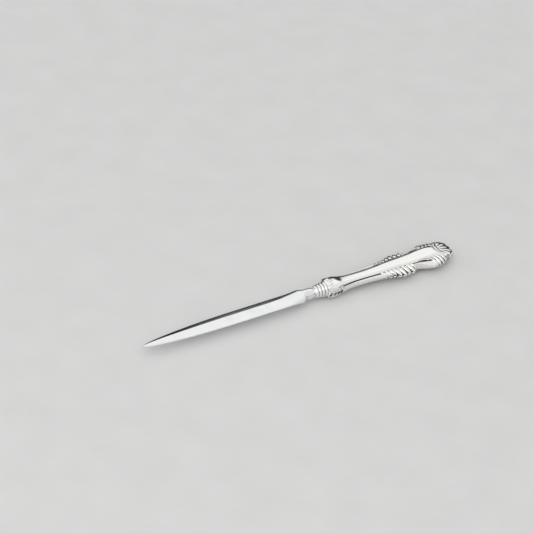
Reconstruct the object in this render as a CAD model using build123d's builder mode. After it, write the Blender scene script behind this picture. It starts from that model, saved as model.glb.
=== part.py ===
"""A letter opener: a steel blade whose tang is cemented into a hollow, die-struck handle.

The part lies on its handle with its axis along X: the blade's tip is at the low end, +Y is the
far side and +Z is up. It is modelled about its own axis and then raised onto its lowest point, so
the origin is under the middle of the part, on the surface that it lies on.
"""
import os
from math import cos, radians, sin

from build123d import *

# Main lengths along the axis; the shoulder's reach is from the tip of the blade
overall_length = 229.0
shoulder_reach = 111.5
bolster_length = 13.5
shoulder_to_ferrule = 9.5
ferrule_length = 8.5

# Blade
blade_width = 11.0
blade_thickness = 1.8
edge_thickness = 0.6
flat_share = 0.55
tip_width = 0.9
tip_thickness = 0.8
ogive_length = 66.0
ogive_fullness = 1.8
tip_section_count = 9
tip_length = 24.0
blade_section_count = 5

# Bolster, forged in one with the blade
shoulder_thickness = 3.0
shoulder_edge_thickness = 1.6
shoulder_crown = 0.9
neck_diameter = 7.6
neck_end_diameter = 6.8
neck_overlap = 0.5
neck_crown_share = 0.55
neck_root_share = 0.55
shoulder_slope_share = 0.45

# Tang
tang_length = 56.0
tang_width = 5.6
tang_end_width = 3.8
tang_thickness = 3.0

# Ferrule that closes the mouth of the handle
ferrule_front_diameter = 8.2
ferrule_back_diameter = 10.2
ring_count = 4
ring_depth = 0.5
ring_crest_share = 0.5
spigot_length = 3.5
spigot_clearance = 0.15
tang_clearance = 0.1

# Hollow handle, as sections from the mouth to the terminal
handle_width = 18.0
handle_thickness = 10.6
wall = 0.8
panel_wall_share = 0.5
mouth_rim_angle = 45
body_length_share = 0.955
station_shares = [0.055, 0.125, 0.205, 0.31, 0.43, 0.55, 0.68, 0.785, 0.86, 0.925, 1.0]
width_shares = [0.69, 0.63, 0.585, 0.61, 0.70, 0.77, 0.735, 0.90, 0.98, 0.86, 0.52]
thickness_shares = [1.0, 0.78, 0.65, 0.60, 0.63, 0.74, 0.82, 0.94, 1.0, 0.84, 0.40]
panel_shares = [0.74, 0.74, 0.73, 0.72, 0.67, 0.66, 0.76, 0.70, 0.68, 0.68, 0.66]
rim_shares = [0.55, 0.48, 0.46, 0.46, 0.46, 0.44, 0.42, 0.42, 0.42, 0.42, 0.42]
cavity_length_share = 0.90

# Leaves: where along its middle line a leaf is measured, and its size there
leaf_place_shares = [0.25, 0.50, 0.75, 0.92]
leaf_size_shares = [0.55, 0.85, 1.0, 0.74]
leaf_bend_share = 0.12
leaf_root_drop_share = 0.5

# Acanthus bracket along each side of the handle's middle
bracket_width = 21.6
bracket_leaf_length = 6.8
bracket_leaf_radius = 1.5
bracket_leaf_height = 1.45
bracket_root_side = 4.8
bracket_root_rise = 2.1
bracket_reach_shares = [0.457, 0.484, 0.511, 0.539, 0.571, 0.611, 0.647, 0.671]
bracket_tip_shares = [0.61, 0.67, 0.75, 0.88, 1.0, 0.94, 0.94, 0.69]
bracket_size_shares = [0.50, 0.56, 0.64, 0.78, 0.90, 1.0, 0.96, 0.62]

# Larger leaves that sweep outwards beside the shell
cluster_width = 24.0
cluster_leaf_length = 15.0
cluster_leaf_radius = 1.5
cluster_leaf_height = 1.7
cluster_root_side = 5.3
cluster_root_rise = 3.2
cluster_reach_shares = [0.811, 0.839, 0.877, 0.905, 0.926]
cluster_tip_shares = [1.0, 0.99, 0.87, 0.73, 0.61]
cluster_size_shares = [1.45, 0.92, 0.96, 0.92, 0.80]

# Small leaves on each side of the mouth
root_leaf_count = 4
root_leaf_radius = 0.95
root_leaf_height = 1.2
root_leaf_length = 2.4
root_leaf_spacing = 2.9
root_leaf_width = 12.8
root_leaf_side = 5.2
root_leaf_start = 2.9
root_leaf_rise = 1.5

# Pair of small leaves on the panel, behind the ferrule; the handle lies on them
mouth_leaf_start = 0.3
mouth_leaf_length = 5.8
mouth_leaf_radius = 1.0
mouth_leaf_height = 0.8
mouth_leaf_bend_share = 0.47
mouth_leaf_side = 2.3
mouth_leaf_tip_side = 3.0
mouth_leaf_root_rise = 4.4
mouth_leaf_bend_rise = 5.6
mouth_leaf_tip_rise = 4.4

# Scallop shell at the end of the handle
shell_rib_count = 9
shell_rib_radius = 1.75
shell_length = 14.9
shell_side_share = 0.66
shell_roundness = 1.3
shell_spread = 58
shell_rise = 2.9
shell_droop = 10
rib_belly_place_share = 0.43
rib_belly_share = 0.86

# Places worked out from the sizes above
tip_x = -overall_length / 2
bolster_start = shoulder_reach - bolster_length
bolster_end = shoulder_reach + shoulder_to_ferrule
neck_length = shoulder_to_ferrule + neck_overlap
mouth_reach = bolster_end + ferrule_length
handle_length = overall_length - mouth_reach
ferrule_x = tip_x + bolster_end
spigot_radius = ferrule_back_diameter / 2 - wall - spigot_clearance
axis = Axis((ferrule_x, 0, 0), (1, 0, 0))
side_plane = Plane(origin=(ferrule_x, 0, 0), x_dir=(1, 0, 0), z_dir=(0, -1, 0))


def across(reach):
    """The plane square to the axis at a distance from the tip, its x to the far side, its y up."""
    return Plane(origin=(tip_x + reach, 0, 0), x_dir=(0, 1, 0), z_dir=(1, 0, 0))


def blade_section_at(reach):
    """The blade's section: its outline is a full ogive, and it thins a little to the tip."""
    left = max(1 - reach / ogive_length, 0)
    width = max(blade_width * (1 - left**2) ** (1 / ogive_fullness), tip_width)
    share = min(reach / tip_length, 1)
    thickness = tip_thickness + (blade_thickness - tip_thickness) * share
    return blade_section(reach, width, thickness, edge_thickness, 0)


def blade_section(reach, width, thickness, edge, crown):
    """A flat with a bevel down to a blunt edge on each side; a bolster's flat is crowned."""
    flat, side, half, low = width * flat_share / 2, width / 2, thickness / 2, edge / 2
    with BuildSketch(across(reach)) as section:
        with BuildLine():
            if crown > 0:
                ThreePointArc((flat, half), (0, half + crown), (-flat, half))
                ThreePointArc((-flat, -half), (0, -half - crown), (flat, -half))
            else:
                Line((flat, half), (-flat, half))
                Line((-flat, -half), (flat, -half))
            Polyline((-flat, half), (-side, low), (-side, -low), (-flat, -half))
            Polyline((flat, -half), (side, -low), (side, low), (flat, half))
        make_face()
    return section.sketch


def handle_section(reach, half_width, half_thickness, panel, rim):
    """A crowned panel above and below, and between them a rounded border along each side."""
    with BuildSketch(across(reach)) as section:
        with BuildLine():
            ThreePointArc((panel, rim), (0, half_thickness), (-panel, rim))
            ThreePointArc((-panel, rim), (-half_width, 0), (-panel, -rim))
            ThreePointArc((-panel, -rim), (0, -half_thickness), (panel, -rim))
            ThreePointArc((panel, -rim), (half_width, 0), (panel, rim))
        make_face()
    return section.sketch


def handle_sizes():
    """Reach, half width, half thickness, panel half width and rim height of each section."""
    mouth = ferrule_back_diameter / 2
    rim_angle = radians(mouth_rim_angle)
    yield mouth_reach, mouth, mouth, mouth * cos(rim_angle), mouth * sin(rim_angle)
    table = zip(station_shares, width_shares, thickness_shares, panel_shares, rim_shares)
    for station, width, thickness, panel, rim in table:
        half_width = width * handle_width / 2
        half_thickness = thickness * handle_thickness / 2
        reach = mouth_reach + station * handle_length * body_length_share
        yield reach, half_width, half_thickness, panel * half_width, rim * half_thickness


def leaf(root, bend, tip, half_width, half_height):
    """One struck leaf: its middle line bends from root to tip, and it swells between them."""
    line = Bezier(root, bend, tip)
    sections = [Vertex(*root)]
    for place, size in zip(leaf_place_shares, leaf_size_shares):
        way = line % place
        plane = Plane(origin=line @ place, x_dir=Vector(0, 0, 1).cross(way), z_dir=way)
        with BuildSketch(plane) as section:
            Ellipse(size * half_width, size * half_height)
        sections.append(section.sketch)
    with BuildPart() as body:
        loft(sections=[*sections, Vertex(*tip)])
    return body.part


def side_leaf(tip_reach, tip_side, length, root_side, rise, half_width, half_height):
    """A leaf that leaves the panel along the handle and turns outwards to its tip at the seam."""
    x = tip_x + tip_reach
    root = (x - length, root_side, rise * leaf_root_drop_share)
    bend = (x - length * leaf_bend_share, root_side, rise)
    return leaf(root, bend, (x, tip_side, 0), half_width, half_height)


def side_leaves():
    """The bracket, the leaves beside the shell and the mouth's small leaves, on the far side."""
    for reach, side, size in zip(bracket_reach_shares, bracket_tip_shares, bracket_size_shares):
        yield side_leaf(mouth_reach + reach * handle_length, side * bracket_width / 2,
                        bracket_leaf_length, bracket_root_side, bracket_root_rise,
                        size * bracket_leaf_radius, bracket_leaf_height)
    for reach, side, size in zip(cluster_reach_shares, cluster_tip_shares, cluster_size_shares):
        yield side_leaf(mouth_reach + reach * handle_length, side * cluster_width / 2,
                        cluster_leaf_length, cluster_root_side, cluster_root_rise,
                        size * cluster_leaf_radius, cluster_leaf_height)
    for i in range(root_leaf_count):
        yield side_leaf(mouth_reach + root_leaf_start + i * root_leaf_spacing,
                        root_leaf_width / 2, root_leaf_length, root_leaf_side, root_leaf_rise,
                        root_leaf_radius, root_leaf_height)


def mouth_leaf():
    """The far one of the two leaves that lie along the panel and spread a little to their tips."""
    x = tip_x + mouth_reach + mouth_leaf_start
    root = (x, mouth_leaf_side, mouth_leaf_root_rise)
    bend = (x + mouth_leaf_length * mouth_leaf_bend_share, mouth_leaf_side, mouth_leaf_bend_rise)
    tip = (x + mouth_leaf_length, mouth_leaf_tip_side, mouth_leaf_tip_rise)
    return leaf(root, bend, tip, mouth_leaf_radius, mouth_leaf_height)


def shell_rib(angle, length):
    """A rib of the scallop: a teardrop, pointed at the hub, that ends in a rounded tip."""
    droop = radians(shell_droop)
    reach = (shell_length - shell_rib_radius) * cos(droop) + shell_rib_radius
    hub = Vector(tip_x + overall_length - reach, 0, shell_rise)
    way = Vector(cos(radians(angle)) * cos(droop), sin(radians(angle)) * cos(droop), -sin(droop))
    plane = Plane(origin=hub, x_dir=way, z_dir=Vector(0, 0, 1).cross(way))
    round_start = length - shell_rib_radius
    with BuildPart() as rib:
        with BuildSketch(plane):
            with BuildLine():
                belly = (round_start * rib_belly_place_share, shell_rib_radius * rib_belly_share)
                ThreePointArc((0, 0), belly, (round_start, shell_rib_radius))
                CenterArc((round_start, 0), shell_rib_radius, 0, 90)
                Line((length, 0), (0, 0))
            make_face()
        revolve(axis=Axis(hub, way))
    return rib.part


def shell_ribs():
    """The ribs fan out from the shell's hub, and the side ones are shorter."""
    for i in range(shell_rib_count):
        turn = 2 * i / (shell_rib_count - 1) - 1
        length = shell_length * (1 - (1 - shell_side_share) * abs(turn) ** shell_roundness)
        yield shell_rib(turn * shell_spread, length)


# Blade, bolster and tang in one piece of steel
with BuildPart() as blade:
    loft(sections=[
        blade_section_at(tip_length * i / (tip_section_count - 1))
        for i in range(tip_section_count)
    ])
    loft(sections=[
        blade_section_at(tip_length + (bolster_start - tip_length) * i / (blade_section_count - 1))
        for i in range(blade_section_count)
    ])
    loft(sections=[
        blade_section(bolster_start, blade_width, blade_thickness, edge_thickness, 0),
        blade_section(shoulder_reach, blade_width, shoulder_thickness,
                      shoulder_edge_thickness, shoulder_crown),
    ], ruled=True)
    neck_reach = shoulder_reach + (bolster_end - shoulder_reach) * shoulder_slope_share
    loft(sections=[
        blade_section(shoulder_reach, blade_width, shoulder_thickness,
                      shoulder_edge_thickness, shoulder_crown),
        blade_section(neck_reach, neck_diameter * neck_root_share, shoulder_thickness,
                      shoulder_edge_thickness, shoulder_crown),
    ], ruled=True)
    with BuildSketch(side_plane):
        with BuildLine():
            root = (-neck_length, neck_root_share * neck_diameter / 2)
            ThreePointArc(root, (-neck_length * neck_crown_share, neck_diameter / 2),
                          (0, neck_end_diameter / 2))
            Polyline((0, neck_end_diameter / 2), (0, 0), (-neck_length, 0), root)
        make_face()
    revolve(axis=axis)
    with BuildSketch(Plane.XY):
        with BuildLine():
            Polyline((ferrule_x, tang_width / 2), (ferrule_x + tang_length, tang_end_width / 2),
                     (ferrule_x + tang_length, -tang_end_width / 2), (ferrule_x, -tang_width / 2),
                     close=True)
        make_face()
    extrude(amount=tang_thickness / 2, both=True)

# Turned ferrule with its rings, a spigot for the mouth and a slot for the tang
with BuildPart() as ferrule:
    with BuildSketch(side_plane):
        with BuildLine():
            front = ferrule_front_diameter / 2 - ring_depth
            rise = (ferrule_back_diameter - ferrule_front_diameter) / 2 / ring_count
            ring = ferrule_length / ring_count
            for i in range(ring_count):
                foot, next_foot = front + i * rise, front + (i + 1) * rise
                crest = ((i + ring_crest_share) * ring, foot + rise / 2 + ring_depth)
                ThreePointArc((i * ring, foot), crest, ((i + 1) * ring, next_foot))
            spigot_end = ferrule_length + spigot_length
            Polyline((ferrule_length, next_foot), (ferrule_length, spigot_radius),
                     (spigot_end, spigot_radius), (spigot_end, 0), (0, 0), (0, front))
        make_face()
    revolve(axis=axis)
    with BuildSketch(across(bolster_end)):
        Rectangle(tang_width + 2 * tang_clearance, tang_thickness + 2 * tang_clearance)
    extrude(amount=ferrule_length + spigot_length, mode=Mode.SUBTRACT)

# The hollow inside the handle, a wall's thickness within its outer sections
with BuildPart() as cavity:
    loft(sections=[
        handle_section(reach, half_width - wall, half_thickness - wall,
                       panel - wall * panel_wall_share, rim - wall)
        for reach, half_width, half_thickness, panel, rim in handle_sizes()
        if reach < mouth_reach + cavity_length_share * handle_length
    ])

# Upper half of the handle with its leaves, and its mirror image below the seam
with BuildPart() as handle_front_shell:
    loft(sections=[handle_section(*sizes) for sizes in handle_sizes()])
    far_leaves = [*side_leaves(), mouth_leaf()]
    add(far_leaves)
    add([far_leaf.mirror(Plane.XZ) for far_leaf in far_leaves])
    add(list(shell_ribs()))
    split(bisect_by=Plane.XY, keep=Keep.TOP)
    add(cavity.part, mode=Mode.SUBTRACT)

with BuildPart() as handle_back_shell:
    mirror(handle_front_shell.part, about=Plane.XY)

# Cement that fills the hollow round the tang
with BuildPart() as resin_core:
    add(cavity.part)
    add([blade.part, ferrule.part], mode=Mode.SUBTRACT)

# The whole part is raised until it lies on its lowest point
lift = Location((0, 0, -handle_back_shell.part.bounding_box().min.Z))
os.makedirs("parts", exist_ok=True)

blade.part.move(lift)
blade.part.label = "blade"
export_step(blade.part, "parts/blade.step")

ferrule.part.move(lift)
ferrule.part.label = "ferrule"
export_step(ferrule.part, "parts/ferrule.step")

handle_front_shell.part.move(lift)
handle_front_shell.part.label = "handle_front_shell"
export_step(handle_front_shell.part, "parts/handle_front_shell.step")

handle_back_shell.part.move(lift)
handle_back_shell.part.label = "handle_back_shell"
export_step(handle_back_shell.part, "parts/handle_back_shell.step")

resin_core.part.move(lift)
resin_core.part.label = "resin_core"
export_step(resin_core.part, "parts/resin_core.step")
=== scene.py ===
"""The looks of the letter opener: struck silver handle, ringed ferrule and polished blade.

Lengths in this script are millimetres along the opener from the tip of its blade (reach), to each
side of its axis and above its axis. They turn into metres in the part's frame when a mesh is made.
"""
from math import acos, cos, degrees, exp, pi, radians, sin

import bmesh
import bpy
from mathutils import Matrix, Vector


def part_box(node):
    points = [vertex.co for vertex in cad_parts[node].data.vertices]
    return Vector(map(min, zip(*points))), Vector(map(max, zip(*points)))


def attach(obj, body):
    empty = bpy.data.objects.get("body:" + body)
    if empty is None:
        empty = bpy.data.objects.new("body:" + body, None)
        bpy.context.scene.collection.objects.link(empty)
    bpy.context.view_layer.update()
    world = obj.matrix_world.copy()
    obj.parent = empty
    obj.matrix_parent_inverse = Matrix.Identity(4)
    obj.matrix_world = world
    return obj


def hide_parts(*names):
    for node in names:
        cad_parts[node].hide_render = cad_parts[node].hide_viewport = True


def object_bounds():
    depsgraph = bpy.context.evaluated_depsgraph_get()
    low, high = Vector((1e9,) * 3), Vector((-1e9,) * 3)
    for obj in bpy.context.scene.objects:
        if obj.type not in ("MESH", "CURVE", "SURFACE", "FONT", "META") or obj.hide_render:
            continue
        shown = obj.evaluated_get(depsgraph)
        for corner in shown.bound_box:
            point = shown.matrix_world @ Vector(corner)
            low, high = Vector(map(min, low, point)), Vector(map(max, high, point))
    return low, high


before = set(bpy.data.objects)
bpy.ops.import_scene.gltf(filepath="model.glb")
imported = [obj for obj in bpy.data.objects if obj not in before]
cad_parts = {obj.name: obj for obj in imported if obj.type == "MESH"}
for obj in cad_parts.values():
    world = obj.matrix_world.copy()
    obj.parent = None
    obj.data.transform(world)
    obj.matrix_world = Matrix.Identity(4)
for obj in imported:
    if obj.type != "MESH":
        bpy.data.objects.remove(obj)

MM = 0.001
CAD_BOX = [[float(v) for v in corner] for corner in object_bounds()]

# The part's frame: the tip of the blade and the axis through it
FERRULE_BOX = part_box("ferrule")
TIP_X = CAD_BOX[0][0]
AXIS_Z = (FERRULE_BOX[0][2] + FERRULE_BOX[1][2]) / 2

# Reaches along the opener; the shoulder lies 1.1 mm behind the solid's, as in the photograph
BOLSTER_START = 98.0
SHOULDER = 112.6
NECK = 116.2
FERRULE_START = 121.0
MOUTH = 129.5
BODY_END = 227.6


def through(table, reach):
    """The value at a reach on a smooth curve through a table of reaches and values."""
    if reach <= table[0][0]:
        return table[0][1]
    if reach >= table[-1][0]:
        return table[-1][1]
    k = max(i for i in range(len(table) - 1) if table[i][0] <= reach)
    (x0, y0), (x1, y1) = table[k], table[k + 1]

    def slope(i):
        if i == 0 or i == len(table) - 1:
            j = min(i, len(table) - 2)
            return (table[j + 1][1] - table[j][1]) / (table[j + 1][0] - table[j][0])
        before = (table[i][1] - table[i - 1][1]) / (table[i][0] - table[i - 1][0])
        after = (table[i + 1][1] - table[i][1]) / (table[i + 1][0] - table[i][0])
        if before * after <= 0:
            return 0.0
        return 2 * before * after / (before + after)

    span = x1 - x0
    t = (reach - x0) / span
    a, b = slope(k) * span, slope(k + 1) * span
    return ((2 * t**3 - 3 * t**2 + 1) * y0 + (t**3 - 2 * t**2 + t) * a
            + (3 * t**2 - 2 * t**3) * y1 + (t**3 - t**2) * b)


def steps(start, end, size):
    """Evenly spaced values from start to end, about a given size apart."""
    count = max(int(round((end - start) / size)), 1)
    return [start + (end - start) * i / count for i in range(count + 1)]


def ease(low, high, value):
    """0 below low, 1 above high, and a smooth rise between them."""
    t = min(max((value - low) / (high - low), 0.0), 1.0)
    return t * t * (3 - 2 * t)


def hump(value, width):
    """1 at zero, and a soft fall to nothing over a width on both sides."""
    return exp(-(value / width) ** 2)


def place(point):
    """A point of this script in metres in the part's frame."""
    reach, side, up = point
    return Vector((TIP_X + reach * MM, side * MM, AXIS_Z + up * MM))


def all_round(reach, quarter):
    """A closed loop at a reach from a quarter of it, which runs from the side to the crown."""
    upper = quarter + [(-y, z) for y, z in quarter[-2::-1]]
    lower = [(y, -z) for y, z in upper[-2:0:-1]]
    return [(reach, y, z) for y, z in upper + lower]


def skin(mesh, loops):
    """A closed tube through loops of points, with its ends drawn together.

    It gives back the vertices of the loops in their order, without the middles of the two ends.
    """
    rows = [[mesh.verts.new(p) for p in loop] for loop in loops]
    count = len(rows[0])
    for a, b in zip(rows, rows[1:]):
        for i in range(count):
            j = (i + 1) % count
            mesh.faces.new((a[i], a[j], b[j], b[i]))
    for row, turn in ((rows[0], 1), (rows[-1], -1)):
        middle = mesh.verts.new(sum((v.co for v in row), Vector()) / count)
        for i in range(count):
            first, second = (row[i], row[(i + 1) % count])[::turn]
            mesh.faces.new((middle, second, first))
    return [vert for row in rows for vert in row]


def set_painted_shade(mesh, verts, shares):
    """Notes for the silver material how much painted shade lies at each vertex."""
    painted_shade = mesh.verts.layers.float["painted_shade"]
    for vert, share in zip(verts, shares):
        vert[painted_shade] = share


def finish_mesh(mesh, name, node, material):
    """A mesh in millimetres becomes a piece that stands for a node of the part."""
    for vert in mesh.verts:
        vert.co = place(vert.co)
    bmesh.ops.recalc_face_normals(mesh, faces=mesh.faces)
    data = bpy.data.meshes.new(name)
    mesh.to_mesh(data)
    mesh.free()
    for polygon in data.polygons:
        polygon.use_smooth = True
    data.materials.append(material)
    piece = bpy.data.objects.new(name, data)
    bpy.context.scene.collection.objects.link(piece)
    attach(piece, "root")
    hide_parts(node)


class Nodes:
    """A new material and short ways to add nodes to it."""

    def __init__(self, name):
        self.material = bpy.data.materials.new(name)
        self.material.use_nodes = True
        self.tree = self.material.node_tree
        self.tree.nodes.clear()

    def set(self, socket, value):
        """Links a socket to another node's, or gives it a value."""
        if isinstance(value, bpy.types.NodeSocket):
            self.tree.links.new(value, socket)
        else:
            socket.default_value = value

    def add(self, kind, settings=None, **values):
        """A node of a kind; an underscore in the name of an input stands for a space."""
        node = self.tree.nodes.new(kind)
        for key, value in (settings or {}).items():
            setattr(node, key, value)
        for key, value in values.items():
            self.set(node.inputs[key.replace("_", " ")], value)
        return node

    def where(self):
        """The place on the object, in metres."""
        return self.add("ShaderNodeTexCoord").outputs["Object"]

    def ramp(self, factor, stops):
        """Colours or plain values that follow a factor."""
        node = self.add("ShaderNodeValToRGB", Fac=factor)
        band = node.color_ramp
        while len(band.elements) < len(stops):
            band.elements.new(0.5)
        for element, (position, value) in zip(band.elements, stops):
            element.position = position
            element.color = (*value, 1) if isinstance(value, tuple) else (value, value, value, 1)
        return node.outputs["Color"]

    def noise(self, vector, scale, detail, roughness=0.5):
        return self.add("ShaderNodeTexNoise", Vector=vector, Scale=scale, Detail=detail,
                        Roughness=roughness).outputs["Fac"]

    def stretched(self, vector, scale):
        """The same place with its own scale along each axis."""
        return self.add("ShaderNodeMapping", Vector=vector, Scale=scale).outputs["Vector"]

    def bump(self, height, strength, distance):
        return self.add("ShaderNodeBump", Strength=strength, Distance=distance,
                        Height=height).outputs["Normal"]

    def math(self, operation, a, b):
        node = self.add("ShaderNodeMath", {"operation": operation})
        for socket, value in zip(node.inputs, (a, b)):
            self.set(socket, value)
        return node.outputs[0]

    def finish(self, **values):
        """The material, with a principled shader of these values."""
        shader = self.add("ShaderNodeBsdfPrincipled", **values)
        out = self.add("ShaderNodeOutputMaterial")
        self.tree.links.new(shader.outputs[0], out.inputs["Surface"])
        return self.material


# Plate, whose colour carries painted shade in creases and painted highlight on crests: how far off
# a wall still shades a crease, where painted shade and crests turn bright, what share of the shine
# full painted shade takes, how much painted shine and clouds add to the brightness, and the
# colours and roughness from painted shade to painted shine
CREASE_REACH = 1.6 * MM
SHADE_STOPS = [(0.40, 0.0), (0.84, 1.0)]
CREST_STOPS = [(0.40, 0.0), (0.52, 1.0)]
PAINTED_SHADE_TAKES = 0.92
PAINTED_SHINE_SHARE, CLOUD_SHARE = 0.92, 0.14
PLATE_PAINTED_LIGHT_COLORS = [(0.0, (0.035, 0.033, 0.030)), (0.35, (0.20, 0.19, 0.175)),
                (0.80, (0.90, 0.895, 0.87)), (1.0, (0.95, 0.945, 0.925))]
PLATE_ROUGHNESS = [(0.0, 0.42), (0.25, 0.17), (0.6, 0.10)]
PLATE_SCRATCHES = (90.0, 2600.0, 2600.0)
# Blade steel: colours and roughness over its clouds, and the scale of its lines along each axis
STEEL_COLORS = [(0.3, (0.82, 0.83, 0.83)), (0.7, (0.88, 0.89, 0.89))]
STEEL_ROUGHNESS = [(0.3, 0.16), (0.7, 0.10)]
STEEL_LINES = (40.0, 5200.0, 5200.0)
CEMENT_COLORS = [(0.35, (0.24, 0.20, 0.16)), (0.65, (0.38, 0.32, 0.26))]
FLOOR_COLORS = [(0.3, (0.70, 0.70, 0.695)), (0.7, (0.73, 0.73, 0.725))]


def silver_material():
    """Polished plate: painted highlight on what stands out, painted shade in the struck creases.
    """
    n = Nodes("silver_plate")
    where = n.where()
    # Ambient occlusion and pointiness paint shade into creases and hollows and highlight onto
    # crests
    cavity = n.add("ShaderNodeAmbientOcclusion", {"samples": 12, "only_local": True},
                   Distance=CREASE_REACH).outputs["AO"]
    edge = n.add("ShaderNodeNewGeometry").outputs["Pointiness"]
    cloud = n.noise(where, scale=260.0, detail=4.0)
    open_share = n.ramp(cavity, SHADE_STOPS)
    crest = n.ramp(edge, CREST_STOPS)
    # The vertex attribute adds painted shade and painted dark reflection in the creases; the rest
    # is the unshaded share
    painted_shade = n.add("ShaderNodeAttribute", {"attribute_name": "painted_shade"}).outputs["Fac"]
    polished = n.math("SUBTRACT", 1.0, n.math("MULTIPLY", painted_shade, PAINTED_SHADE_TAKES))
    bright = n.math("MULTIPLY", n.math("MULTIPLY", open_share, crest), polished)
    bright = n.math("ADD", n.math("MULTIPLY", bright, PAINTED_SHINE_SHARE),
                    n.math("MULTIPLY", cloud, CLOUD_SHARE))
    wear = n.noise(where, scale=900.0, detail=5.0)
    scratch = n.noise(n.stretched(where, PLATE_SCRATCHES), scale=1.0, detail=3.0)
    dimple = n.noise(where, scale=420.0, detail=2.0)
    height = n.math("ADD", n.math("MULTIPLY", scratch, 0.25), dimple)
    # The base colour runs from painted shade to painted shine, with clouds of random tone
    return n.finish(Base_Color=n.ramp(bright, PLATE_PAINTED_LIGHT_COLORS), Metallic=1.0,
                    Roughness=n.ramp(n.math("MULTIPLY", wear, bright), PLATE_ROUGHNESS),
                    Normal=n.bump(height, strength=0.05, distance=0.2 * MM))


def steel_material():
    """Polished stainless steel with the faint lengthwise lines of its polish."""
    n = Nodes("blade_steel")
    where = n.where()
    lines = n.noise(n.stretched(where, STEEL_LINES), scale=1.0, detail=4.0, roughness=0.6)
    cloud = n.noise(where, scale=120.0, detail=3.0)
    both = n.math("MULTIPLY", n.math("ADD", lines, cloud), 0.5)
    return n.finish(Base_Color=n.ramp(cloud, STEEL_COLORS), Metallic=1.0,
                    Roughness=n.ramp(both, STEEL_ROUGHNESS),
                    Normal=n.bump(lines, strength=0.05, distance=0.1 * MM))


def cement_material():
    """The dark, slightly grainy filling inside the handle."""
    n = Nodes("cement")
    grain = n.noise(n.where(), scale=1400.0, detail=6.0)
    return n.finish(Base_Color=n.ramp(grain, CEMENT_COLORS), Roughness=0.85,
                    Normal=n.bump(grain, strength=0.4, distance=0.3 * MM))


def floor_material():
    """Pale matte paper."""
    n = Nodes("floor_paper")
    grain = n.noise(n.where(), scale=40.0, detail=4.0)
    return n.finish(Base_Color=n.ramp(grain, FLOOR_COLORS), Roughness=0.9)


SILVER = silver_material()
STEEL = steel_material()
CEMENT = cement_material()

BLADE_HALF_WIDTH = 5.5
TIP_HALF_WIDTH = 0.45
OGIVE_LENGTH, OGIVE_POWER = 66.0, 1.8
# What share of the blade's width is flat, how thick it is in the middle and at its edges, and how
# far the flat swells up near the neck
FLAT_SHARE = [(0.0, 0.45), (24.0, 0.34), (88.0, 0.34), (97.0, 0.42), (105.0, 0.66),
              (SHOULDER, 0.93)]
BLADE_HALF_THICKNESS = [(0.0, 0.40), (24.0, 0.90), (BOLSTER_START, 0.90), (105.0, 1.10),
                        (SHOULDER, 1.65), (NECK, 2.2)]
EDGE_HALF_THICKNESS = [(0.0, 0.22), (10.0, 0.26), (BOLSTER_START, 0.30), (105.0, 0.60),
                       (SHOULDER, 1.30)]
BLADE_CROWN = [(BOLSTER_START - 2, 0.0), (105.0, 0.30), (SHOULDER, 0.85), (NECK, 1.5)]
NECK_RADIUS = [(SHOULDER, 3.3), (NECK, 3.72), (118.2, 3.70), (120.0, 3.45),
               (FERRULE_START, 3.10)]
SHOULDER_HALF_WIDTH = [(111.4, 5.5), (SHOULDER, 5.2), (114.2, 4.25), (NECK, 3.74)]
TURN_START = 110.6
# The points of a quarter of the blade's outline: shares across its bevel and its flat, and the
# angles that they turn to where the neck is round
BEVEL_POINTS = (0.25, 0.5, 0.75, 0.93)
FLAT_POINTS = (1.0, 0.8, 0.6, 0.4, 0.2, 0.0)
NECK_ANGLES = (0, 5, 12, 20, 28, 36, 43, 48, 51, 58, 66, 74, 82, 90)
# Most rounding of the blade's edge, and of the corner between its flat and its bevel
EDGE_ROUNDING, CORNER_ROUNDING = 0.12, 0.18
# Loops of the blade lie closer together near its tip and at its bolster
BLADE_REACHES = ([0.15, 0.5] + steps(1.0, 10.0, 0.5) + steps(11.0, 96.0, 1.0)
                 + steps(96.5, FERRULE_START, 0.35))
# The tang: its half width at both ends, by reach, and its half thickness
TANG = [(FERRULE_START - 0.2, 2.8), (FERRULE_START + 56.0, 1.9)]
TANG_HALF_THICKNESS = 1.5


def blade_loop(reach):
    """The blade's outline at a reach: flats, bevels and blunt edges, turning round at the neck."""
    left = max(1 - reach / OGIVE_LENGTH, 0.0)
    width = max(BLADE_HALF_WIDTH * (1 - left**2) ** (1 / OGIVE_POWER), TIP_HALF_WIDTH)
    if reach > SHOULDER_HALF_WIDTH[0][0]:
        width = through(SHOULDER_HALF_WIDTH, reach)
    thick = through(BLADE_HALF_THICKNESS, reach)
    edge = through(EDGE_HALF_THICKNESS, reach)
    crown = through(BLADE_CROWN, reach)
    flat = width * through(FLAT_SHARE, reach)
    soft = min(CORNER_ROUNDING, flat * 0.2)
    quarter = [(width, 0.0), (width, edge * 0.75), (width - min(edge, EDGE_ROUNDING), edge)]
    for t in BEVEL_POINTS:
        quarter.append((width + (flat - width) * t, edge + (thick - edge) * t))
    quarter.append((flat - soft * 0.3, thick - soft * 0.05))
    for t in FLAT_POINTS:
        y = (flat - soft) * t
        quarter.append((y, thick + crown * (1 - (y / flat) ** 2)))
    turn = ease(TURN_START, NECK, reach)
    radius = through(NECK_RADIUS, reach)
    turned = []
    for (y, z), angle in zip(quarter, NECK_ANGLES):
        round_y, round_z = radius * cos(radians(angle)), radius * sin(radians(angle))
        turned.append((y + (round_y - y) * turn, z + (round_z - z) * turn))
    return all_round(reach, turned)


def make_blade():
    """The blade with its bolster, and the tang that runs into the handle."""
    mesh = bmesh.new()
    skin(mesh, [blade_loop(reach) for reach in BLADE_REACHES])
    thick = TANG_HALF_THICKNESS
    skin(mesh, [[(reach, wide, -thick), (reach, wide, thick), (reach, -wide, thick),
                 (reach, -wide, -thick)] for reach, wide in TANG])
    finish_mesh(mesh, "blade_polished", "blade", STEEL)


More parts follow.
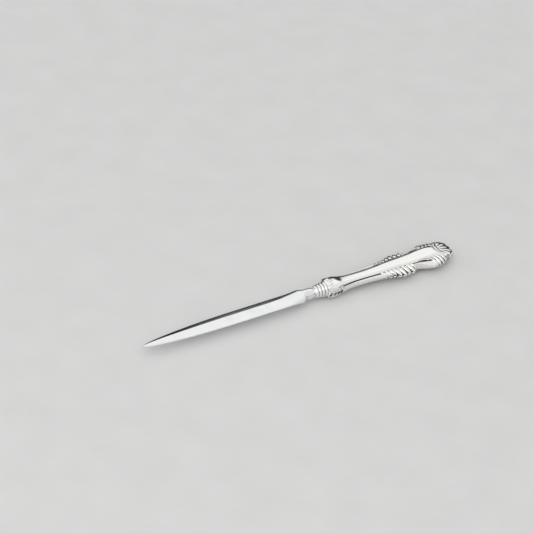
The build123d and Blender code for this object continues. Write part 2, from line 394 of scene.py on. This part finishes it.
RING_COUNT = 4
RING_RADII = [(FERRULE_START, 3.75), (MOUTH, 4.85)]
# A ring's foot below its radius, how far it swells out of it, how far it flares to the handle, and
# how full its curve is
RING_FOOT, RING_SWELL, RING_FLARE, RING_FULLNESS = 0.38, 0.62, 0.10, 0.62
# Shares of the pitch on which a ring's curve is drawn, and the groove after it
RING_SHARES = steps(0.06, 0.94, 0.08)
GROOVE_SHARE, GROOVE_DEPTH = 0.985, 0.05
# The disc in front, the seat on the handle's mouth and the spigot inside it
FRONT_GAP, FRONT_RADIUS = 0.05, 3.1
SEAT_RADIUS = 4.6
SPIGOT_RADIUS, SPIGOT_START, SPIGOT_END = 4.1, MOUTH + 0.4, MOUTH + 3.4
FERRULE_SIDES = 96
# The radius of a loop on the axis, so that it still is a loop
LEAST_RADIUS = 0.01


def make_ferrule():
    """A turned collar: four rounded rings that step up to the handle, with grooves between."""
    pitch = (MOUTH - FERRULE_START) / RING_COUNT
    front = FERRULE_START + FRONT_GAP
    profile = [(front, 0.0), (front, FRONT_RADIUS)]
    for i in range(RING_COUNT):
        start = FERRULE_START + i * pitch
        foot = through(RING_RADII, start + pitch / 2) - RING_FOOT
        for t in RING_SHARES:
            swell = sin(pi * t) ** RING_FULLNESS
            profile.append((start + t * pitch, foot + swell * RING_SWELL + t * RING_FLARE))
        profile.append((start + GROOVE_SHARE * pitch, foot - GROOVE_DEPTH))
    profile += [(MOUTH, SEAT_RADIUS), (SPIGOT_START, SPIGOT_RADIUS), (SPIGOT_END, SPIGOT_RADIUS),
                (SPIGOT_END, 0.0)]
    turns = [2 * pi * k / FERRULE_SIDES for k in range(FERRULE_SIDES)]
    loops = []
    for reach, radius in profile:
        radius = max(radius, LEAST_RADIUS)
        loops.append([(reach, radius * cos(turn), radius * sin(turn)) for turn in turns])
    mesh = bmesh.new()
    skin(mesh, loops)
    finish_mesh(mesh, "ferrule_turned", "ferrule", SILVER)


HALF_WIDTH = [(MOUTH, 5.15), (131.0, 5.8), (133.5, 6.2), (136.5, 6.15), (142.0, 5.5),
              (149.0, 5.2), (155.0, 5.4), (162.0, 5.75), (168.0, 6.35), (173.0, 6.95),
              (178.0, 7.25), (184.0, 7.1), (190.0, 6.8), (196.5, 6.65), (199.0, 7.1),
              (201.5, 8.2), (203.5, 9.3), (206.0, 10.5), (208.5, 11.2), (211.0, 11.0),
              (214.0, 9.9), (217.0, 8.8), (220.0, 7.8), (223.0, 6.9), (226.0, 5.2),
              (BODY_END, 3.4)]
HALF_THICKNESS = [(MOUTH, 5.05), (131.5, 5.3), (135.0, 5.3), (142.0, 4.05), (149.0, 3.4),
                  (155.0, 3.2), (162.0, 3.05), (170.0, 3.2), (178.0, 3.65), (184.0, 3.9),
                  (197.0, 4.15), (204.0, 4.6), (210.0, 4.9), (213.5, 4.75), (216.0, 4.2),
                  (218.5, 3.2), (222.0, 2.6), (BODY_END, 1.5)]
PANEL_HALF_WIDTH = [(136.6, 5.9), (138.2, 5.62), (140.0, 5.2), (142.0, 4.72), (144.5, 4.2),
                    (148.0, 3.68), (152.0, 3.42), (157.0, 3.42), (171.0, 3.85), (183.0, 4.3),
                    (196.0, 5.0), (208.0, 5.8), (214.0, 5.9), (218.0, 5.0), (222.0, 3.8),
                    (BODY_END, 1.8)]
# How high the rounded border stands
ROLL_HEIGHT = [(MOUTH, 3.6), (136.0, 3.2), (141.0, 2.3), (147.0, 1.95), (171.0, 2.0),
               (183.0, 2.25), (194.0, 2.6), (204.0, 2.9), (210.0, 2.85), (215.0, 2.5),
               (222.0, 1.8), (BODY_END, 1.0)]
# Where the panel parts from the round mouth, and where it sinks into the shell again
PANEL_PARTS, PANEL_SINKS = (134.8, 140.0), (213.0, 220.0)
CHANNEL_WIDTH, CHANNEL_DEPTH = 0.46, 0.06
# Most of the body's width that the panel takes, and of its height that the border takes
PANEL_MOST, ROLL_MOST = 0.96, 0.9
# What share of the border lies outside its crest: where it is plain, less where it is sharp, and
# how much of that comes back beside the leaves, and where
ROLL_SHARE, ROLL_SHARPER, ROLL_BACK, ROLL_COMES_BACK = 0.70, 0.165, 0.6, (170.0, 177.0)
# How flat the panel's crown is and how steep its sides are, and what is added where it is sharp
PANEL_FLATNESS, SHARP_FLATNESS = 2.0, 1.8
PANEL_STEEPNESS, SHARP_STEEPNESS = 1.7, 0.4
# The points across half of the panel, and how many more there are round the border
PANEL_POINTS = (0.0, 0.12, 0.24, 0.36, 0.48, 0.58, 0.67, 0.75, 0.82, 0.88, 0.92, 0.955, 0.98, 1.0)
ROLL_POINTS = 18
BODY_STEP = 0.4
# Painted shade in the channel: how wide it is, where it starts and ends, where the leaves begin to
# cover it and how much of it they take
CHANNEL_SHADE_WIDTH = 0.26
CHANNEL_DARKENS, CHANNEL_CLEARS, CHANNEL_COVERED = (137.0, 139.5), (214.0, 218.0), (170.0, 175.0)
COVERED_SHARE = 0.85


def handle_quarter(reach):
    """A quarter of the handle's outline at a reach, from the seam at its side to its crown."""
    width, top = through(HALF_WIDTH, reach), through(HALF_THICKNESS, reach)
    panel = min(through(PANEL_HALF_WIDTH, reach), width * PANEL_MOST)
    roll = min(through(ROLL_HEIGHT, reach), top * ROLL_MOST)
    sharp = ease(*PANEL_PARTS, reach) * (1 - ease(*PANEL_SINKS, reach))
    channel = CHANNEL_WIDTH * sharp
    share = ROLL_SHARE - ROLL_SHARPER * sharp * (1 - ROLL_BACK * ease(*ROLL_COMES_BACK, reach))
    half_roll = (width - panel - channel) * share
    middle = width - half_roll
    start_angle = pi - acos(min(max((middle - panel - channel) / half_roll, -1.0), 1.0))
    crease = roll * sin(start_angle)
    flatness = PANEL_FLATNESS + SHARP_FLATNESS * sharp
    steepness = PANEL_STEEPNESS + SHARP_STEEPNESS * sharp
    points = []
    for t in PANEL_POINTS:
        points.append((panel * t, crease + (top - crease) * (1 - t**flatness) ** (1 / steepness)))
    points.append((panel + channel * 0.5, crease - CHANNEL_DEPTH * sharp))
    points.append((panel + channel, crease))
    for i in range(1, ROLL_POINTS + 1):
        angle = start_angle * (1 - i / ROLL_POINTS)
        points.append((middle + half_roll * cos(angle), roll * sin(angle)))
    return points[::-1]


def channel_painted_shade(reach, side):
    """How much painted shade lies in the channel beside the panel."""
    off = abs(side) - through(PANEL_HALF_WIDTH, reach) - CHANNEL_WIDTH / 2
    ends = ease(*CHANNEL_DARKENS, reach) * (1 - ease(*CHANNEL_CLEARS, reach))
    covered = COVERED_SHARE * ease(*CHANNEL_COVERED, reach)
    return hump(off, CHANNEL_SHADE_WIDTH) * ends * (1 - covered)


def handle_body(mesh):
    """The smooth struck body: a raised panel between rounded borders."""
    verts = skin(mesh, [all_round(reach, handle_quarter(reach))
                        for reach in steps(MOUTH, BODY_END, BODY_STEP)])
    # Painted shade in the channel beside the panel
    set_painted_shade(mesh, verts, [channel_painted_shade(vert.co.x, vert.co.y) for vert in verts])


def bend(points, t):
    """A point and a direction on a curve with one bend."""
    a, b, c = (Vector(p) for p in points)
    spot = a * (1 - t) ** 2 + b * 2 * t * (1 - t) + c * t**2
    way = (b - a) * (1 - t) + (c - b) * t
    return spot, way.normalized()


# A leaf's loops and the points in each, how they crowd to its tip, how near they come to the end
# of its bend, and the least share of its size
LEAF_ALONG, LEAF_AROUND = 30, 28
LEAF_CROWDING, BEND_END, LEAST_SIZE = 1.25, 0.9995, 0.02
# The vein: its width, and where along the leaf it sets in
VEIN_WIDTH, VEIN_STARTS = 0.20, (0.05, 0.3)
# Painted shade beside a leaf and on its root: over what share of the height it fades, and where
# along the leaf it ends at its edge and on its root
PAINTED_SHADE_FADE, EDGE_CLEARS, ROOT_CLEARS = 0.35, (0.55, 0.85), (0.18, 0.34)


def leaf(mesh, points, width, height, full_at=0.72, start=0.3, vein=0.0, point=0.5, edge=0.0,
         edge_top=0.45, root=0.0):
    """One struck leaf along a bend, with a vein down its middle.

    It swells from a share of its size (start) to all of it (full_at) and then comes to a tip,
    which is the sharper the more point it has. Painted shade lies beside it (edge) up to a share
    of its height (edge_top), and on its root.
    """
    loops, shade_paint = [], []
    for i in range(LEAF_ALONG + 1):
        t = 1 - (1 - i / LEAF_ALONG) ** LEAF_CROWDING
        spot, way = bend(points, min(t, BEND_END))
        side = Vector((0, 0, 1)).cross(way).normalized()
        up = way.cross(side)
        if t < full_at:
            size = start + (1 - start) * ease(0.0, full_at, t)
        else:
            size = max(1 - ((t - full_at) / (1 - full_at)) ** 2, 0.0) ** point
        size = max(size, LEAST_SIZE)
        # Painted shade low on the leaf's sides and on its root
        edge_painted_shade = edge * (1 - ease(*EDGE_CLEARS, t))
        root_painted_shade = root * (1 - ease(*ROOT_CLEARS, t))
        loop = []
        for k in range(LEAF_AROUND):
            angle = 2 * pi * k / LEAF_AROUND
            across, rise = cos(angle), sin(angle)
            cut = 1.0
            if rise > 0:
                cut -= vein * hump(across, VEIN_WIDTH) * ease(*VEIN_STARTS, t)
            loop.append(spot + side * (across * width * size) + up * (rise * height * size * cut))
            low = 1 - ease(edge_top - PAINTED_SHADE_FADE, edge_top, rise)
            shade_paint.append(max(edge_painted_shade * low, root_painted_shade))
        loops.append(loop)
    set_painted_shade(mesh, skin(mesh, loops), shade_paint)


# Leaves of the bracket on each side, by the reach and side of their tips, with half width and half
# height; their roots carry painted shade on the far side, where the photograph shows a dark line
BRACKET_LEAVES = [
    (173.6, 7.1, 1.05, 0.62), (176.7, 7.7, 1.25, 0.72), (179.7, 8.3, 1.40, 0.85),
    (182.5, 10.1, 1.50, 1.05), (185.4, 11.2, 1.45, 1.15), (188.9, 10.6, 1.65, 1.20),
    (192.4, 10.5, 1.60, 1.20), (195.0, 8.4, 1.05, 1.05),
]
BRACKET_ROOT_SHADE = {1: 0.9, -1: 0.0}
# Their roots: how far behind the tip, how far inside the panel's edge and how high, and how far
# behind the tip that edge is read
ROOT_BEHIND, ROOT_INSIDE, ROOT_HEIGHT, PANEL_BEHIND = 3.4, 0.5, 1.5, 3.0
# Their bends: how far behind the tip, how far inside the body's side, how far below the border's
# top, and what share of the leaf's height is added
BEND_BEHIND, BEND_INSIDE, BEND_BELOW, BEND_RISE = 1.5, 1.1, 0.4, 0.7
BRACKET_TIP_HEIGHT = 0.2
# Leaves beside the shell: root, bend and tip, then half width and half height
CLUSTER_LEAVES = [
    ([(198.2, 5.6, 3.2), (202.4, 5.5, 4.3), (205.6, 7.4, 3.5)], 0.42, 0.62),
    ([(200.8, 5.3, 3.5), (205.0, 5.0, 4.6), (208.0, 8.2, 3.2)], 0.50, 0.75),
    ([(203.4, 4.9, 3.4), (208.6, 5.1, 4.3), (209.6, 11.7, 0.3)], 1.15, 1.15),
    ([(205.8, 4.7, 3.5), (211.6, 5.0, 4.2), (212.2, 11.75, 0.3)], 1.20, 1.20),
    ([(208.4, 4.5, 3.5), (214.4, 5.0, 4.0), (215.0, 11.2, 0.3)], 1.20, 1.25),
    ([(211.0, 4.3, 3.3), (216.8, 4.9, 3.7), (217.7, 9.9, 0.4)], 1.10, 1.25),
]
# Petals that hang down each side of the mouth, by the reach of their middle
PETALS = (131.6, 134.4, 137.0, 139.3)
PETAL_HALF_WIDTH, PETAL_HALF_HEIGHT = 1.36, 0.42
# Root, bend and tip of a petal: how far off its middle and off the body's side, and how high
PETAL_POINTS = [(-0.5, -2.3, 3.1), (-0.2, 0.1, 2.7), (0.3, 0.22, 0.15)]
# Small leaves across the mouth's top: side, length and half width
CUFF_LEAVES = [(0.0, 6.6, 1.05), (2.2, 5.9, 1.05), (4.1, 4.4, 0.90)]
CUFF_HALF_HEIGHT = 0.52
# Root, bend and tip of a cuff leaf: shares of its length and of its side, and how high off the top
CUFF_POINTS = [(0.0, 0.95, -0.45), (0.45, 1.0, 0.75), (1.0, 1.25, -0.55)]
# How far behind the mouth they begin, how high its top is, and how fast that falls to the side
CUFF_START, CUFF_TOP, CUFF_FALL = 0.3, 5.05, 0.08


def bracket_leaf(reach, side, height):
    """Root, bend and tip of a leaf that crosses the border from the panel's edge."""
    panel = through(PANEL_HALF_WIDTH, reach - PANEL_BEHIND)
    ridge = through(ROLL_HEIGHT, reach) - BEND_BELOW + BEND_RISE * height
    return [(reach - ROOT_BEHIND, panel - ROOT_INSIDE, ROOT_HEIGHT),
            (reach - BEND_BEHIND, through(HALF_WIDTH, reach) - BEND_INSIDE, ridge),
            (reach, side, BRACKET_TIP_HEIGHT)]


def petal(reach):
    """Root, bend and tip of a petal that hangs down the mouth's side."""
    side = through(HALF_WIDTH, reach)
    return [(reach + along, side + beside, up) for along, beside, up in PETAL_POINTS]


def cuff_leaf(side, length):
    """Root, bend and tip of a small leaf that lies on the mouth's top."""
    root, top = MOUTH + CUFF_START, CUFF_TOP - CUFF_FALL * side**2
    return [(root + along * length, across * side, top + up) for along, across, up in CUFF_POINTS]


def mirrored(points, sign):
    """The same points on the far side (1) or on the near side (-1)."""
    return [(reach, side * sign, up) for reach, side, up in points]


# The scallop shell, drawn from its hub: how far off its rim is, by degrees from straight ahead
SHELL_HUB = 214.0
SHELL_RIM = [(0.0, 14.3), (10.0, 14.25), (20.0, 14.05), (29.0, 13.2), (40.0, 11.7), (55.0, 9.9),
             (72.0, 8.0), (90.0, 6.8)]
SHELL_HEIGHT = 4.6
# How fast the shell's top sinks ahead of its hub and behind it, and how steep its rim is, less so
# straight ahead
SINK_AHEAD, SINK_BEHIND = 0.09, 0.5
RIM_STEEPNESS, SOFTER_AHEAD, AHEAD_NARROWNESS = 9, 3, 8
# The flutes: how many there are in all, how many degrees they reach to each side and where they
# fade out there, where on the way to the rim they grow and end, and how deep they are
SHELL_FLUTES, FLUTED_DEGREES, FLUTES_FADE = 9, 84, (70.0, 90.0)
FLUTES_GROW, FLUTES_END, FLUTE_DEPTH = (0.12, 0.5), (0.93, 1.0), 0.12
# What share of the way to the rim they notch out of it, and where that grows
RIM_NOTCH, NOTCH_GROWS = 0.022, (0.5, 1.0)
# The fold across the shell: how far ahead of the hub it lies, how it curves, where it ends to each
# side, its width and its depth
FOLD_AHEAD, FOLD_CURVE, FOLD_ENDS = 3.4, 0.05, (4.2, 5.4)
FOLD_WIDTH, FOLD_DEPTH = 0.42, 0.16
# Painted shade at the foot of the rim, in the flutes and in the fold; the first starts some
# degrees from straight ahead
FOOT_PAINTED_SHADE, GROOVE_PAINTED_SHADE, FOLD_PAINTED_SHADE = 0.5, 0.25, 0.4
FOOT_GROWS, FOOT_BESIDE = (0.90, 0.97), (38.0, 46.0)
GROOVES_GROW, GROOVES_END = (0.3, 0.6), (0.90, 0.95)
SHELL_RINGS, SHELL_TURNS = 56, 144


def shell_point(rho, angle):
    """A point of the shell at a share of the way to its rim, and how much painted shade lies
    there.
    """
    off_axis = degrees(abs((angle + pi) % (2 * pi) - pi))
    valley = 0.5 - 0.5 * cos(pi * SHELL_FLUTES * off_axis / FLUTED_DEGREES)
    fluted = 1 - ease(*FLUTES_FADE, off_axis)
    notch = RIM_NOTCH * valley * fluted * ease(*NOTCH_GROWS, rho)
    spread = rho * through(SHELL_RIM, off_axis) * (1 - notch)
    forward, aside = spread * cos(angle), spread * sin(angle)

    steepness = RIM_STEEPNESS - SOFTER_AHEAD * max(cos(angle), 0.0) ** AHEAD_NARROWNESS
    height = SHELL_HEIGHT - SINK_AHEAD * max(forward, 0.0) - SINK_BEHIND * max(-forward, 0.0)
    height *= (1 - rho**steepness) ** 0.5
    deep = ease(*FLUTES_GROW, rho) * (1 - ease(*FLUTES_END, rho))
    height -= FLUTE_DEPTH * valley * fluted * deep
    fold = hump(forward - FOLD_AHEAD - FOLD_CURVE * aside**2, FOLD_WIDTH)
    fold *= 1 - ease(*FOLD_ENDS, abs(aside))
    height -= FOLD_DEPTH * fold

    # Painted shade at the rim's foot, in the flutes and in the fold
    foot = ease(*FOOT_GROWS, rho) * ease(*FOOT_BESIDE, off_axis)
    groove = valley**3 * fluted * ease(*GROOVES_GROW, rho) * (1 - ease(*GROOVES_END, rho))
    shade_paint = min(FOOT_PAINTED_SHADE * foot + GROOVE_PAINTED_SHADE * groove + FOLD_PAINTED_SHADE * fold, 1.0)
    return (SHELL_HUB + forward, aside, max(height, 0.0)), shade_paint


def shell(mesh):
    """The scallop: flutes that fan out from its hub, and a thick rounded rim."""
    angles = [2 * pi * k / SHELL_TURNS for k in range(SHELL_TURNS)]
    rings = [[shell_point(i / SHELL_RINGS, angle) for angle in angles]
             for i in range(1, SHELL_RINGS + 1)]
    over = [[point for point, _ in ring] for ring in rings]
    under = [[(x, y, -z) for x, y, z in loop] for loop in over[-2::-1]]
    set_painted_shade(mesh, skin(mesh, over + under), [dark for ring in rings for _, dark in ring])


def handle_ornament(mesh):
    """Leaves along the sides and round the mouth, on both sides of the axis, and the shell."""
    # Every leaf carries painted shade beside it, and the bracket leaves also on their roots on the
    # far side
    for sign in (1, -1):
        for reach, side, width, height in BRACKET_LEAVES:
            leaf(mesh, mirrored(bracket_leaf(reach, side, height), sign), width, height,
                 full_at=0.55, start=0.85, vein=0.24, point=0.62, edge=0.4,
                 root=BRACKET_ROOT_SHADE[sign])
        for points, width, height in CLUSTER_LEAVES:
            leaf(mesh, mirrored(points, sign), width, height, vein=0.24, point=0.6, edge=0.8)
        for reach in PETALS:
            leaf(mesh, mirrored(petal(reach), sign), PETAL_HALF_WIDTH, PETAL_HALF_HEIGHT,
                 full_at=0.55, start=0.75, point=0.8, edge=1.0)
    for side, length, width in CUFF_LEAVES:
        for y in sorted({side, -side}):
            leaf(mesh, cuff_leaf(y, length), width, CUFF_HALF_HEIGHT, full_at=0.35, start=0.8,
                 vein=0.16, point=0.95, edge=0.45, edge_top=0.85)
    shell(mesh)


def make_handle():
    """The upper shell, and its mirror image below the seam, which carries the same painted shade.
    """
    for name, node, sign in (("handle_front_struck", "handle_front_shell", 1),
                             ("handle_back_struck", "handle_back_shell", -1)):
        mesh = bmesh.new()
        mesh.verts.layers.float.new("painted_shade")
        handle_body(mesh)
        handle_ornament(mesh)
        everything = mesh.verts[:] + mesh.edges[:] + mesh.faces[:]
        bmesh.ops.bisect_plane(mesh, geom=everything, plane_co=(0, 0, 0), plane_no=(0, 0, 1),
                               clear_inner=True)
        for vert in mesh.verts:
            vert.co.z *= sign
        finish_mesh(mesh, name, node, SILVER)


make_blade()
make_ferrule()
make_handle()
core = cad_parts["resin_core"]
core.data.materials.clear()
core.data.materials.append(CEMENT)

FLOOR_SIZE = 6.0


def make_floor():
    """A plain pale floor under the part."""
    data = bpy.data.meshes.new("floor")
    half = FLOOR_SIZE / 2
    data.from_pydata([(-half, -half, 0), (half, -half, 0), (half, half, 0), (-half, half, 0)],
                     [], [(0, 1, 2, 3)])
    data.materials.append(floor_material())
    floor = bpy.data.objects.new("floor", data)
    bpy.context.scene.collection.objects.link(floor)


def lamp(name, direction, distance, width, height, power):
    """A soft rectangular lamp that looks at the part from a direction."""
    data = bpy.data.lights.new(name, "AREA")
    data.shape = "RECTANGLE"
    data.size, data.size_y = width, height
    data.energy = power
    lamp_object = bpy.data.objects.new(name, data)
    way = Vector(direction).normalized()
    lamp_object.location = way * distance
    lamp_object.rotation_euler = way.to_track_quat("Z", "Y").to_euler()
    bpy.context.scene.collection.objects.link(lamp_object)


# The room: the way in which it brightens, and how bright it is that way. The dark band stands for
# the black lid of the case, which the polished metal mirrors in the photograph
ROOM_UP = (-0.12, -0.25, 0.96)
ROOM_LIGHT = [(0.12, (0.03, 0.03, 0.032)), (0.25, (0.84, 0.84, 0.84))]


def studio_world():
    """A pale room of soft light that darkens low down on the far side, behind the opener."""
    world = bpy.data.worlds.new("studio")
    bpy.context.scene.world = world
    world.use_nodes = True
    tree = world.node_tree
    tree.nodes.clear()
    way = tree.nodes.new("ShaderNodeTexCoord")
    height = tree.nodes.new("ShaderNodeVectorMath")
    height.operation = "DOT_PRODUCT"
    height.inputs[1].default_value = ROOM_UP
    tree.links.new(way.outputs["Generated"], height.inputs[0])
    band = tree.nodes.new("ShaderNodeValToRGB")
    for element, (position, color) in zip(band.color_ramp.elements, ROOM_LIGHT):
        element.position = position
        element.color = (*color, 1)
    tree.links.new(height.outputs["Value"], band.inputs["Fac"])
    background = tree.nodes.new("ShaderNodeBackground")
    tree.links.new(band.outputs["Color"], background.inputs["Color"])
    out = tree.nodes.new("ShaderNodeOutputWorld")
    tree.links.new(background.outputs[0], out.inputs["Surface"])


# The photograph's viewing angle, fitted to the opener's own length, tip and end
PHOTO_SIZE = 533
FOCAL_PIXELS = 1684.7
SENSOR_WIDTH = 36.0
CLIP_START, CLIP_END = 0.05, 20.0
AZIMUTH, ELEVATION, ROLL = -35.86, 37.77, 6.90
CAMERA_PLACE = (-501.6, -650.1, 660.5)


def make_camera():
    """The camera where the photograph's was, turned to its azimuth, elevation and roll."""
    data = bpy.data.cameras.new("camera")
    data.sensor_width = SENSOR_WIDTH
    data.lens = SENSOR_WIDTH * FOCAL_PIXELS / PHOTO_SIZE
    data.clip_start, data.clip_end = CLIP_START, CLIP_END
    camera = bpy.data.objects.new("camera", data)
    azimuth, elevation = radians(AZIMUTH), radians(ELEVATION)
    back = Vector((sin(azimuth) * cos(elevation), -cos(azimuth) * cos(elevation), sin(elevation)))
    right = Vector((0, 0, 1)).cross(back).normalized()
    turn = Matrix((right, back.cross(right), back)).transposed().to_4x4()
    camera.matrix_world = (Matrix.Translation(Vector(CAMERA_PLACE) * MM) @ turn
                           @ Matrix.Rotation(radians(ROLL), 4, "Z"))
    bpy.context.scene.collection.objects.link(camera)
    bpy.context.scene.camera = camera


make_floor()
lamp("key_box", (0.30, 0.75, 0.95), distance=1.2, width=1.5, height=1.0, power=0.7)
lamp("front_box", (-0.75, -0.55, 0.85), distance=1.3, width=1.0, height=0.8, power=3.0)
studio_world()
make_camera()
bpy.context.scene.view_settings.view_transform = "Standard"
